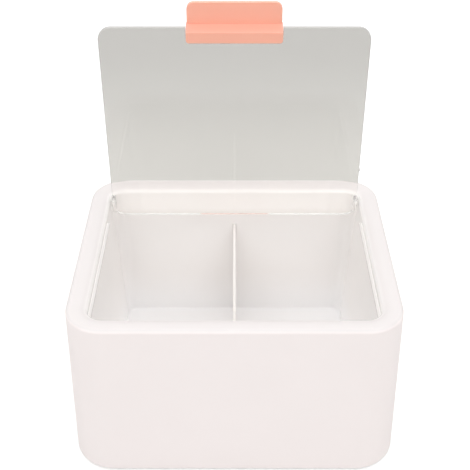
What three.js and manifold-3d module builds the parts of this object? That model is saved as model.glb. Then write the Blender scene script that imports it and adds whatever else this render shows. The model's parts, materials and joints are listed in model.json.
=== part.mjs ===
// Cotton pad holder: a white box with a double wall and a wide soft rim, a thin divider across its
// tub, and a clear flip lid with a coral clip for a handle. The lid turns on two stub pins in the
// side walls near the rear and is shown standing open.
// Lengths are millimetres. +Z is up, -Y is the front, and the origin is the middle of the resting
// plane under the box.

import * as THREE from 'three';
import { mergeVertices } from 'three/addons/utils/BufferGeometryUtils.js';
import Module from 'manifold-3d';

const wasm = await Module();
wasm.setup();

// Body, outside
const bodyWidth = 150;
const bodyDepth = 127;
const bodyHeight = 85;
const bodyCornerRadius = 17.5;
const skirtFlare = THREE.MathUtils.degToRad(1.25);
const skirtWall = 2.2;
const topFillet = 1.8;
const bottomFillet = 2.5;

// Rim round the opening
const rimWidth = 9.8;
const rimCrestInset = 3.5;
const rimDrop = 3;
const rimThickness = 2.6;
const openingCornerRadius = 7.5;
const lidSink = 2;

// Tub inside the body
const tubSlope = THREE.MathUtils.degToRad(3.6);
const tubWall = 2;
const floorHeight = 6.8;
const floorThickness = 2.2;
const floorCornerRadius = 5;
const floorFillet = 1;
const tubUnderChamfer = 1.2;

// Rests for the closed lid
const railWidth = 1.4;
const railDepth = 3.2;
const railRearEnd = 27;
const railFrontInset = 2;

// Divider and its guide grooves
const dividerThickness = 1.6;
const dividerHeight = 56;
const grooveDepth = 1;
const grooveClearance = 0.3;
const grooveHeadroom = 0.4;

// Base plate and feet
const plateThickness = 2.2;
const plateRecess = 0.4;
const skirtEdgeWidth = 3.1;
const footRadius = 6;
const footProud = 0.6;
const footRecessDepth = 1;
const footInset = 14;

// Lid panel, measured from its hinge axis
const lidThickness = 2;
const lidSideClearance = 0.9;
const lidFrontClearance = 0.5;
const lidRearClearance = 0.7;
const lidCornerRadius = 6.3;
const lidLean = THREE.MathUtils.degToRad(2);
const hingeSetback = 8.3;
const lugRadius = 4.7;
const lugWidth = 1.9;
const pinRadius = 1.3;
const pinReach = 2.4;
const pinClearance = 0.2;
const socketWall = 1.7;
const gateNubPlace = 20.5;
const gateNubLength = 2.4;
const gateNubProud = 0.4;

// Lid handle, a clip round the lid's front edge
const notchWidth = 47.6;
const notchDepth = 2.7;
const lipLength = 7.2;
const lipThickness = 1.3;
const lipCornerRadius = 1.5;
const lipSideGap = 0.5;
const webFoot = 1.8;
const webHead = 0.1;
const tabWidth = 44.8;
const tabReach = 10.6;
const tabThickness = 2.1;
const tabCornerRadius = 3.5;
const tabRimGap = 0.4;

// Fits and cuts
const seatGap = 0.3;
const cutOverrun = 2;

// Roundness
const cornerSteps = 10;
const filletSteps = 4;
const rimSteps = 6;
const roundSteps = 32;

// Levels above the resting plane
const bottomLevel = footProud;
const topLevel = bottomLevel + bodyHeight;
const openingLevel = topLevel - rimDrop;
const floorLevel = bottomLevel + floorHeight;
const pocketDepth = plateRecess + plateThickness + seatGap;
const hingeLevel = topLevel - lidSink - lidThickness;
const railLevel = hingeLevel - seatGap;

// Half sizes worked out from the driving sizes
const openingHalfWidth = bodyWidth / 2 - rimWidth;
const openingHalfDepth = bodyDepth / 2 - rimWidth;
const hingeRear = openingHalfDepth - hingeSetback;
const lidHalfWidth = openingHalfWidth - lidSideClearance;
const lidFront = hingeRear + openingHalfDepth - lidFrontClearance;
const lidTail = hingeSetback - lidRearClearance;

// Materials
function whitePlastic() {
  return new THREE.MeshStandardMaterial({ color: 0xf3ecea, roughness: 0.35, metalness: 0 });
}

function clearPlastic() {
  return new THREE.MeshStandardMaterial({
    color: 0xcfceca,
    roughness: 0.08,
    metalness: 0,
    transparent: true,
    opacity: 0.6,
  });
}

function coralPlastic() {
  return new THREE.MeshStandardMaterial({ color: 0xf8b199, roughness: 0.4, metalness: 0 });
}

function footRubber() {
  return new THREE.MeshStandardMaterial({ color: 0xc9c7c3, roughness: 0.9, metalness: 0 });
}

// A solid from a closed geometry, and back
function toSolid(geometry) {
  const bare = new THREE.BufferGeometry();
  bare.setAttribute('position', geometry.getAttribute('position').clone());
  if (geometry.index) {
    bare.setIndex(geometry.index.clone());
  }
  const merged = mergeVertices(bare);
  return new wasm.Manifold(new wasm.Mesh({
    numProp: 3,
    vertProperties: new Float32Array(merged.getAttribute('position').array),
    triVerts: new Uint32Array(merged.index.array),
  }));
}

function toGeometry(solid) {
  const mesh = solid.getMesh();
  const geometry = new THREE.BufferGeometry();
  geometry.setAttribute('position', new THREE.BufferAttribute(new Float32Array(mesh.vertProperties), 3));
  geometry.setIndex(new THREE.BufferAttribute(new Uint32Array(mesh.triVerts), 1));
  geometry.computeVertexNormals();
  return geometry;
}

// One level of a loft: a rectangle with round corners
function level(halfWidth, halfDepth, radius, height) {
  return { halfWidth, halfDepth, radius, height };
}

function levelPoints(outline) {
  const points = [];
  for (let corner = 0; corner < 4; corner += 1) {
    const sideX = corner === 0 || corner === 3 ? 1 : -1;
    const sideY = corner < 2 ? 1 : -1;
    const centreX = sideX * (outline.halfWidth - outline.radius);
    const centreY = sideY * (outline.halfDepth - outline.radius);
    for (let step = 0; step <= cornerSteps; step += 1) {
      const angle = (corner + step / cornerSteps) * Math.PI / 2;
      const x = centreX + outline.radius * Math.cos(angle);
      const y = centreY + outline.radius * Math.sin(angle);
      points.push(x, y, outline.height);
    }
  }
  return points;
}

// A closed solid through a row of levels, from a cap that faces up to a cap that faces down
function loft(levels) {
  const count = 4 * (cornerSteps + 1);
  const positions = levels.flatMap(levelPoints);
  const indices = [];
  for (let row = 0; row + 1 < levels.length; row += 1) {
    for (let column = 0; column < count; column += 1) {
      const next = (column + 1) % count;
      const near = row * count;
      const far = near + count;
      indices.push(near + column, far + column, far + next);
      indices.push(near + column, far + next, near + next);
    }
  }
  const topCentre = positions.length / 3;
  positions.push(0, 0, levels[0].height);
  const underCentre = topCentre + 1;
  positions.push(0, 0, levels[levels.length - 1].height);
  const lastRow = (levels.length - 1) * count;
  for (let column = 0; column < count; column += 1) {
    const next = (column + 1) % count;
    indices.push(topCentre, column, next);
    indices.push(underCentre, lastRow + next, lastRow + column);
  }
  const geometry = new THREE.BufferGeometry();
  geometry.setAttribute('position', new THREE.Float32BufferAttribute(positions, 3));
  geometry.setIndex(indices);
  return toSolid(geometry);
}

// An outline in the YZ plane, drawn out along X about the middle
function extrudeAlongX(shape, length) {
  const geometry = new THREE.ExtrudeGeometry(shape, { depth: length, bevelEnabled: false });
  geometry.translate(0, 0, -length / 2);
  geometry.applyMatrix4(new THREE.Matrix4().makeBasis(
    new THREE.Vector3(0, 1, 0),
    new THREE.Vector3(0, 0, 1),
    new THREE.Vector3(1, 0, 0),
  ));
  return toSolid(geometry);
}

// An outline in the XZ plane, drawn out along Y from its rear end to its front end
function extrudeAlongY(shape, frontEnd, rearEnd) {
  const length = rearEnd - frontEnd;
  const geometry = new THREE.ExtrudeGeometry(shape, { depth: length, bevelEnabled: false });
  geometry.applyMatrix4(new THREE.Matrix4().makeBasis(
    new THREE.Vector3(1, 0, 0),
    new THREE.Vector3(0, 0, 1),
    new THREE.Vector3(0, -1, 0),
  ));
  geometry.translate(0, rearEnd, 0);
  return toSolid(geometry);
}

// An outline in the XY plane, drawn up from one height to another
function extrudeUp(shape, low, high) {
  const settings = { depth: high - low, bevelEnabled: false, curveSegments: cornerSteps };
  const geometry = new THREE.ExtrudeGeometry(shape, settings);
  geometry.translate(0, 0, low);
  return toSolid(geometry);
}

// A round bar along X between two places
function barAlongX(radius, fromX, toX, y, z) {
  const geometry = new THREE.CylinderGeometry(radius, radius, Math.abs(toX - fromX), roundSteps);
  geometry.rotateZ(Math.PI / 2);
  geometry.translate((fromX + toX) / 2, y, z);
  return toSolid(geometry);
}

// A round bar along Z between two heights
function barAlongZ(radius, low, high, x, y) {
  const geometry = new THREE.CylinderGeometry(radius, radius, high - low, roundSteps);
  geometry.rotateX(Math.PI / 2);
  geometry.translate(x, y, (low + high) / 2);
  return toSolid(geometry);
}

function polygon(points) {
  const shape = new THREE.Shape();
  shape.setFromPoints(points.map(([across, along]) => new THREE.Vector2(across, along)));
  return shape;
}

function blend(from, to, share) {
  return from + (to - from) * share;
}

// How far the skirt stands out at a height, beyond its size at the top
function skirtFlareAt(height) {
  return (topLevel - height) * Math.tan(skirtFlare);
}

// How far the tub's wall has moved in at a height, below the rim
function tubInsetAt(height) {
  return (openingLevel - height) * Math.tan(tubSlope);
}

// An outline inside the skirt's outer face
function skirtLevel(inset, height) {
  const offset = skirtFlareAt(height) - inset;
  return level(bodyWidth / 2 + offset, bodyDepth / 2 + offset, bodyCornerRadius + offset, height);
}

// An outline outside the tub's inner face, where a negative offset goes into the tub
function tubLevel(offset, height) {
  const sunkShare = (openingLevel - height) / (openingLevel - floorLevel);
  const radius = blend(openingCornerRadius, floorCornerRadius, sunkShare);
  const shift = offset - tubInsetAt(height);
  return level(openingHalfWidth + shift, openingHalfDepth + shift, radius + offset, height);
}

// The tub's floor, its fillet and its wall, from the middle outwards and up
function tubLevels() {
  const levels = [];
  for (let step = 0; step <= filletSteps; step += 1) {
    const angle = step / filletSteps * Math.PI / 2;
    const inset = floorFillet * (1 - Math.sin(angle));
    levels.push(tubLevel(-inset, floorLevel + floorFillet * (1 - Math.cos(angle))));
  }
  return levels;
}

// The rim's soft inner slope, from the tub's wall up to the crest
function rimLevels() {
  const spread = rimWidth - rimCrestInset;
  const crestRadius = bodyCornerRadius - rimCrestInset;
  const levels = [];
  for (let step = 0; step <= rimSteps; step += 1) {
    const angle = step / rimSteps * Math.PI / 2;
    const share = 1 - Math.cos(angle);
    const offset = spread * share;
    const radius = blend(openingCornerRadius, crestRadius, share);
    const height = openingLevel + rimDrop * Math.sin(angle);
    levels.push(level(openingHalfWidth + offset, openingHalfDepth + offset, radius, height));
  }
  return levels;
}

// The skirt's outer face between its two fillets, from the top down
function skirtLevels() {
  const levels = [];
  for (let step = 0; step <= filletSteps; step += 1) {
    const angle = step / filletSteps * Math.PI / 2;
    const inset = topFillet * (1 - Math.sin(angle));
    levels.push(skirtLevel(inset, topLevel - topFillet * (1 - Math.cos(angle))));
  }
  for (let step = 0; step <= filletSteps; step += 1) {
    const angle = step / filletSteps * Math.PI / 2;
    const inset = bottomFillet * (1 - Math.cos(angle));
    levels.push(skirtLevel(inset, bottomLevel + bottomFillet * (1 - Math.sin(angle))));
  }
  return levels;
}

// The pocket that takes the base plate, at the skirt's lower edge
function pocketLevel(clearance, height) {
  const edge = skirtLevel(skirtEdgeWidth + clearance, bottomLevel);
  return level(edge.halfWidth, edge.halfDepth, edge.radius, height);
}

// The hollow between skirt and tub, from the pocket up and down again to the tub's underside
function hollowLevels() {
  const ledgeLevel = bottomLevel + pocketDepth;
  const halfWidth = bodyWidth / 2 - skirtWall;
  const halfDepth = bodyDepth / 2 - skirtWall;
  const radius = bodyCornerRadius - skirtWall;
  const underLevel = floorLevel - floorThickness;
  return [
    pocketLevel(0, bottomLevel),
    pocketLevel(0, ledgeLevel),
    level(halfWidth, halfDepth, radius, ledgeLevel),
    level(halfWidth, halfDepth, radius, topLevel - rimThickness),
    tubLevel(tubWall, openingLevel - rimThickness),
    tubLevel(tubWall, underLevel + tubUnderChamfer),
    tubLevel(tubWall - tubUnderChamfer, underLevel),
  ];
}

// One rest for the closed lid, a ledge with a sloping underside on a side wall
function lidRail(side) {
  const wallAtTop = openingHalfWidth - tubInsetAt(railLevel);
  const wallBelow = openingHalfWidth - tubInsetAt(railLevel - railDepth);
  const root = tubWall / 2;
  const outline = polygon([
    [side * (wallAtTop - railWidth), railLevel],
    [side * (wallAtTop + root), railLevel],
    [side * (wallBelow + root), railLevel - railDepth],
    [side * wallBelow, railLevel - railDepth],
    [side * (wallAtTop - railWidth), railLevel - railWidth],
  ]);
  const frontEnd = railFrontInset - openingHalfDepth;
  return extrudeAlongY(outline, frontEnd, railRearEnd);
}

// The boss round one hinge socket, and the socket itself
function socketReach() {
  return lidHalfWidth + pinReach + seatGap;
}

function socketBoss(side) {
  const wall = openingHalfWidth - tubInsetAt(hingeLevel);
  const radius = pinRadius + pinClearance + socketWall;
  const inner = wall + tubWall / 2;
  const outer = socketReach() + socketWall;
  return barAlongX(radius, side * inner, side * outer, hingeRear, hingeLevel);
}

function socketBore(side) {
  const mouth = lidHalfWidth - cutOverrun;
  const radius = pinRadius + pinClearance;
  return barAlongX(radius, side * mouth, side * socketReach(), hingeRear, hingeLevel);
}

// The divider's outline from front wall to rear wall, reaching into the walls by a given amount
function dividerOutline(reach, low, high) {
  const halfLow = openingHalfDepth - tubInsetAt(low) + reach;
  const halfHigh = openingHalfDepth - tubInsetAt(high) + reach;
  return polygon([[-halfLow, low], [halfLow, low], [halfHigh, high], [-halfHigh, high]]);
}

function dividerGrooves() {
  const width = dividerThickness + 2 * grooveClearance;
  const high = floorLevel + dividerHeight + grooveHeadroom;
  return extrudeAlongX(dividerOutline(grooveDepth, floorLevel, high), width);
}

function bodyShell() {
  let solid = loft([...tubLevels(), ...rimLevels(), ...skirtLevels(), ...hollowLevels()]);
  for (const side of [-1, 1]) {
    solid = solid.add(lidRail(side)).add(socketBoss(side)).subtract(socketBore(side));
  }
  return toGeometry(solid.subtract(dividerGrooves()));
}

function divider() {
  const low = floorLevel + seatGap;
  const high = floorLevel + dividerHeight;
  const reach = grooveDepth - grooveClearance;
  return toGeometry(extrudeAlongX(dividerOutline(reach, low, high), dividerThickness));
}

// The places of the four feet under the base plate
function footPlaces() {
  const plate = pocketLevel(seatGap, bottomLevel);
  const x = plate.halfWidth - footInset;
  const y = plate.halfDepth - footInset;
  return [
    { name: 'foot_front_left', x: -x, y: -y },
    { name: 'foot_front_right', x, y: -y },
    { name: 'foot_rear_left', x: -x, y },
    { name: 'foot_rear_right', x, y },
  ];
}

function basePlate() {
  const low = bottomLevel + plateRecess;
  let solid = loft([pocketLevel(seatGap, low + plateThickness), pocketLevel(seatGap, low)]);
  for (const place of footPlaces()) {
    const radius = footRadius + seatGap;
    const recess = barAlongZ(radius, low - cutOverrun, low + footRecessDepth, place.x, place.y);
    solid = solid.subtract(recess);
  }
  return toGeometry(solid);
}

function foot() {
  const height = footProud + plateRecess + footRecessDepth - seatGap;
  return toGeometry(barAlongZ(footRadius, 0, height, 0, 0));
}

// The lid's outline seen from above when closed, with the notch for the handle in its front edge
function lidOutline() {
  const front = -lidFront;
  const notch = notchWidth / 2;
  const radius = lidCornerRadius;
  const arcX = lidHalfWidth - radius;
  const rearArcY = lidTail - radius;
  const frontArcY = front + radius;
  const nubHalf = gateNubLength / 2;
  const shape = new THREE.Shape();
  shape.moveTo(-notch, front + notchDepth);
  shape.lineTo(notch, front + notchDepth);
  shape.lineTo(notch, front);
  shape.absarc(arcX, frontArcY, radius, -Math.PI / 2, 0, false);
  shape.lineTo(lidHalfWidth, -gateNubPlace - nubHalf);
  shape.quadraticCurveTo(
    lidHalfWidth + 2 * gateNubProud,
    -gateNubPlace,
    lidHalfWidth,
    -gateNubPlace + nubHalf,
  );
  shape.absarc(arcX, rearArcY, radius, 0, Math.PI / 2, false);
  shape.absarc(-arcX, rearArcY, radius, Math.PI / 2, Math.PI, false);
  shape.absarc(-arcX, frontArcY, radius, Math.PI, Math.PI * 3 / 2, false);
  shape.lineTo(-notch, front);
  shape.closePath();
  return shape;
}

// The clear panel with a half-round lug and a stub pin at each side
function lidPanel() {
  const outline = lidOutline();
  const under = extrudeUp(outline, -lugRadius, lidThickness / 2);
  let solid = extrudeUp(outline, 0, lidThickness);
  for (const side of [-1, 1]) {
    const inner = side * (lidHalfWidth - lugWidth);
    const lug = barAlongX(lugRadius, inner, side * (lidHalfWidth + cutOverrun), 0, 0);
    const pin = barAlongX(pinRadius, inner, side * (lidHalfWidth + pinReach), 0, 0);
    solid = solid.add(lug.intersect(under)).add(pin);
  }
  return toGeometry(solid);
}

// The clip's side outline: two lips over the panel, a leaning web in the notch and the tab
function handleProfile() {
  const middle = lidThickness / 2;
  const slotHalf = middle + seatGap;
  const lipOuter = slotHalf + lipThickness;
  const tabUnder = topLevel + tabRimGap - hingeLevel - middle;
  const tabOver = tabUnder + tabThickness;
  const forward = (reach) => -(lidFront + reach);
  const slotEnd = forward(seatGap - notchDepth);
  return polygon([
    [forward(-lipLength), middle - lipOuter],
    [forward(-webFoot), middle - lipOuter],
    [forward(webHead), middle + tabUnder],
    [forward(tabReach), middle + tabUnder],
    [forward(tabReach), middle + tabOver],
    [forward(webHead - tabThickness), middle + tabOver],
    [forward(-webFoot - lipThickness), middle + lipOuter],
    [forward(-lipLength), middle + lipOuter],
    [forward(-lipLength), middle + slotHalf],
    [slotEnd, middle + slotHalf],
    [slotEnd, middle - slotHalf],
    [forward(-lipLength), middle - slotHalf],
  ].reverse());
}

// The clip's outline seen from above: wide lips with small corners, then the narrower round tab
function handleOutline() {
  const lipHalf = notchWidth / 2 - lipSideGap;
  const tabHalf = tabWidth / 2;
  const rear = lipLength - lidFront;
  const step = -(lidFront + webHead);
  const end = -(lidFront + tabReach);
  const tabArcX = tabHalf - tabCornerRadius;
  const tabArcY = end + tabCornerRadius;
  const lipArcX = lipHalf - lipCornerRadius;
  const lipArcY = rear - lipCornerRadius;
  const shape = new THREE.Shape();
  shape.moveTo(-tabHalf, step);
  shape.absarc(-tabArcX, tabArcY, tabCornerRadius, Math.PI, Math.PI * 3 / 2, false);
  shape.absarc(tabArcX, tabArcY, tabCornerRadius, -Math.PI / 2, 0, false);
  shape.lineTo(tabHalf, step);
  shape.lineTo(lipHalf, step);
  shape.absarc(lipArcX, lipArcY, lipCornerRadius, 0, Math.PI / 2, false);
  shape.absarc(-lipArcX, lipArcY, lipCornerRadius, Math.PI / 2, Math.PI, false);
  shape.lineTo(-lipHalf, step);
  shape.closePath();
  return shape;
}

function lidHandle() {
  const band = extrudeAlongX(handleProfile(), notchWidth);
  const reach = topLevel - hingeLevel + tabRimGap + tabThickness + cutOverrun;
  return toGeometry(band.intersect(extrudeUp(handleOutline(), -reach, reach)));
}

function mesh(name, geometry, material) {
  const piece = new THREE.Mesh(geometry, material);
  piece.name = name;
  return piece;
}

// The box with everything that stays still
function box() {
  const group = new THREE.Group();
  group.add(mesh('body_shell', bodyShell(), whitePlastic()));
  group.add(mesh('divider', divider(), whitePlastic()));
  group.add(mesh('base_plate', basePlate(), whitePlastic()));
  for (const place of footPlaces()) {
    const pad = mesh(place.name, foot(), footRubber());
    pad.position.set(place.x, place.y, 0);
    group.add(pad);
  }
  return group;
}

// The lid, built closed about its hinge axis and then turned open, leaning a little forward
function lid() {
  const group = new THREE.Group();
  group.add(mesh('lid_panel', lidPanel(), clearPlastic()));
  group.add(mesh('lid_handle', lidHandle(), coralPlastic()));
  group.position.set(0, hingeRear, hingeLevel);
  group.rotation.x = lidLean - Math.PI / 2;
  return group;
}

const holder = new THREE.Group();
holder.add(box());
holder.add(lid());

export default holder;
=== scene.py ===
"""The looks of a cotton pad holder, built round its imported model.

The holder is a white double-walled box with a wide soft rim, a thin divider across its tub and a
clear flip lid with a coral clip. Lengths are metres. +Z is up and -Y is the front.
"""

import json
import logging
import math
from collections.abc import Sequence
from dataclasses import dataclass
from enum import Enum
from functools import cached_property

import bmesh
import bpy
from mathutils import Color, Matrix, Vector


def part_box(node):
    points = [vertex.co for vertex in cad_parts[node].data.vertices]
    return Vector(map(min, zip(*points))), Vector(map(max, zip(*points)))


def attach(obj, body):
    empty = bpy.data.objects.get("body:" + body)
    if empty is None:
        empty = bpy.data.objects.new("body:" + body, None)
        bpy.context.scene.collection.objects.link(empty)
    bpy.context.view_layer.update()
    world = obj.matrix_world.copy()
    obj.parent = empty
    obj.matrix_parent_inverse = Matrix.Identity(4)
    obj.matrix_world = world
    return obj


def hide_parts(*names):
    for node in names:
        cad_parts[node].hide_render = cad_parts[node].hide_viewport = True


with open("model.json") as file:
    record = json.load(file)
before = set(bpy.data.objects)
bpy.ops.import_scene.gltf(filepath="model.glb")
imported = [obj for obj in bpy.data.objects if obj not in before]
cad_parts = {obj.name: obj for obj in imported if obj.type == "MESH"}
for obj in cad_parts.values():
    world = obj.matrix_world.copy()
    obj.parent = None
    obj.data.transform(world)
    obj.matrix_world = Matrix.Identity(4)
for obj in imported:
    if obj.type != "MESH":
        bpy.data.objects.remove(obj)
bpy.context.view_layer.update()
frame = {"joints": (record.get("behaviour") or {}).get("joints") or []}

Piece = bpy.types.Object
Node = bpy.types.Node
Socket = bpy.types.NodeSocket
Point = tuple[float, float]
Span = tuple[float, float]
Triple = tuple[float, float, float]
Value = Socket | float | Triple
Setup = dict[str, str]

LOG = logging.getLogger("pad_holder")
MM = 0.001
QUARTER_TURN = math.pi / 2
SHARP_ANGLE = math.radians(35)
THIN_SHARP_ANGLE = math.radians(40)
FLAT_WEIGHT = 80
FULL_SHADE = 255
# Most values of a noise lie in this range
NOISE_RANGE = (0.3, 0.7)
ORIGIN = (0.0, 0.0, 0.0)
WHITE = (1.0, 1.0, 1.0)


class Body(Enum):
    """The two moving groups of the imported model."""

    BOX = "box"
    LID = "lid"


class Side(Enum):
    """Which side of the holder a mirrored detail sits on, as the sign of X."""

    LEFT = -1
    RIGHT = 1


class Join(Enum):
    """How one solid meets another, in the boolean modifier's words."""

    ADD = "UNION"
    CUT = "DIFFERENCE"
    COMMON = "INTERSECT"


def display(red: int, green: int, blue: int) -> Triple:
    """Turn a colour as a screen shows it, from 0 to 255, into the scene's linear colour."""
    shown = Color((red / FULL_SHADE, green / FULL_SHADE, blue / FULL_SHADE))
    return tuple(shown.from_srgb_to_scene_linear())


def arc(centre: Point, radius: float, start: int, steps: int) -> list[Point]:
    """Walk a quarter of a circle against the clock, where quarter 0 lies between +X and +Y."""
    turns = [(start + step / steps) * QUARTER_TURN for step in range(steps + 1)]
    return [(centre[0] + radius * math.cos(turn), centre[1] + radius * math.sin(turn)) for turn in turns]


def quarter(steps: int) -> list[Point]:
    """Give the pairs of sine and cosine from 0 to a quarter turn."""
    angles = [step / steps * QUARTER_TURN for step in range(steps + 1)]
    return [(math.sin(angle), math.cos(angle)) for angle in angles]


def rounding(radius: float, steps: int) -> list[Point]:
    """Give the distances from a side and from a face of points on the round edge between them."""
    return [(radius * (1 - sine), radius * (1 - cosine)) for sine, cosine in quarter(steps)]


@dataclass(frozen=True)
class RoundRect:
    """A level rectangle with round corners, centred on the Z axis."""

    half_width: float
    half_depth: float
    radius: float
    height: float

    def grown(self, offset: float, height: float) -> "RoundRect":
        """Return the outline moved outwards, at a height of its own."""
        return RoundRect(self.half_width + offset, self.half_depth + offset, self.radius + offset, height)

    def points(self, steps: int) -> list[Vector]:
        """Walk the outline against the clock, seen from above.

        Args:
            steps: Straight steps in each corner's arc.

        Returns:
            The outline's points.
        """
        walked = []
        x, y = self.half_width - self.radius, self.half_depth - self.radius
        for start, centre in enumerate([(x, y), (-x, y), (-x, -y), (x, -y)]):
            walked += arc(centre, self.radius, start, steps)
        return [Vector((*point, self.height)) for point in walked]


@dataclass(frozen=True)
class Softening:
    """How a piece's sharp edges are rounded: how wide, in how many steps and from which angle."""

    width: float
    steps: int
    least_angle: float

    def apply(self, piece: Piece) -> None:
        """Round a piece's sharp edges.

        Args:
            piece: The piece to round.
        """
        modify(
            piece,
            "BEVEL",
            width=self.width,
            segments=self.steps,
            limit_method="ANGLE",
            angle_limit=self.least_angle,
            use_clamp_overlap=True,
            miter_outer="MITER_ARC",
        )


def linked(name: str, data: bpy.types.ID) -> Piece:
    """Put a mesh, lamp or camera into the scene.

    Args:
        name: The object's name.
        data: The mesh, lamp or camera.

    Returns:
        The new object.
    """
    made = bpy.data.objects.new(name, data)
    bpy.context.scene.collection.objects.link(made)
    return made


def mesh_object(name: str, shape: bmesh.types.BMesh) -> Piece:
    """Put a finished shape into the scene.

    Args:
        name: The object's name.
        shape: The shape, which is used up.

    Returns:
        The new object.
    """
    bmesh.ops.recalc_face_normals(shape, faces=shape.faces)
    mesh = bpy.data.meshes.new(name)
    shape.to_mesh(mesh)
    shape.free()
    return linked(name, mesh)


def solid(name: str, rings: Sequence[Sequence[Vector]], first_up: bool = False) -> Piece:
    """Make a closed solid through a row of rings, with a flat cap at each end.

    Args:
        name: The object's name.
        rings: The rings, with the same number of points in each.
        first_up: Whether the cap on the first ring faces up, and the one on the last ring down.

    Returns:
        The solid as an object.
    """
    shape = bmesh.new()
    rows = [[shape.verts.new(point) for point in ring] for ring in rings]
    count = len(rows[0])
    for near, far in zip(rows, rows[1:]):
        for column in range(count):
            after = (column + 1) % count
            shape.faces.new((near[column], near[after], far[after], far[column]))
    shape.faces.new(rows[0] if first_up else rows[0][::-1])
    shape.faces.new(rows[-1][::-1] if first_up else rows[-1])
    return mesh_object(name, shape)


def prism(name: str, outline: Sequence[Vector], draw: Vector) -> Piece:
    """Draw a flat outline out into a solid."""
    return solid(name, [outline, [point + draw for point in outline]])


def turned(name: str, profile: Sequence[Point], place: Matrix, steps: int) -> Piece:
    """Turn a profile about an axis into a closed round solid.

    Args:
        name: The object's name.
        profile: Radius and height pairs along the side, between its two flat ends.
        place: Where the profile's axis, its own Z, lies.
        steps: Steps round the axis.

    Returns:
        The solid as an object.
    """
    shape = bmesh.new()
    turns = [step / steps * math.tau for step in range(steps)]
    rings = [
        [shape.verts.new((radius * math.cos(turn), radius * math.sin(turn), height)) for turn in turns]
        for radius, height in profile
    ]
    first = shape.verts.new((0, 0, profile[0][1]))
    last = shape.verts.new((0, 0, profile[-1][1]))
    for column in range(steps):
        after = (column + 1) % steps
        shape.faces.new((first, rings[0][after], rings[0][column]))
        shape.faces.new((last, rings[-1][column], rings[-1][after]))
        for near, far in zip(rings, rings[1:]):
            shape.faces.new((near[column], near[after], far[after], far[column]))
    shape.transform(place)
    return mesh_object(name, shape)


def modify(piece: Piece, kind: str, **settings: object) -> None:
    """Make a modifier's result the piece's own mesh.

    Args:
        piece: The object to change.
        kind: The modifier's type.
        settings: The modifier's settings.
    """
    modifier = piece.modifiers.new(kind, kind)
    for name, value in settings.items():
        setattr(modifier, name, value)
    bpy.context.view_layer.update()
    evaluated = piece.evaluated_get(bpy.context.evaluated_depsgraph_get())
    result = bpy.data.meshes.new_from_object(evaluated)
    piece.modifiers.remove(modifier)
    old = piece.data
    piece.data = result
    bpy.data.meshes.remove(old)
    result.name = piece.name


def combine(piece: Piece, other: Piece, join: Join) -> None:
    """Let a second solid, which is used up, meet a piece."""
    modify(piece, "BOOLEAN", operation=join.value, solver="EXACT", object=other)
    bpy.data.objects.remove(other)


def shade(piece: Piece, sharp_angle: float = SHARP_ANGLE) -> None:
    """Shade a piece smoothly, with its flats flat and its sharp edges kept.

    Args:
        piece: The piece to shade.
        sharp_angle: The least angle at an edge that stays sharp.
    """
    piece.data.shade_smooth()
    piece.data.set_sharp_from_angle(angle=sharp_angle)
    modify(piece, "WEIGHTED_NORMAL", mode="FACE_AREA", weight=FLAT_WEIGHT, keep_sharp=True)


def dress(piece: Piece, material: bpy.types.Material, body: Body, node: str) -> Piece:
    """Dress a piece and hang it on its body.

    Args:
        piece: The finished piece, in place.
        material: Its material.
        body: The body it moves with.
        node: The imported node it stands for.

    Returns:
        The dressed piece.
    """
    piece.data.materials.clear()
    piece.data.materials.append(material)
    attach(piece, body.value)
    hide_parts(node)
    return piece


@dataclass(frozen=True)
class Noise:
    """A noise texture: its waves per metre and its finer layers."""

    scale: float
    detail: float


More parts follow.
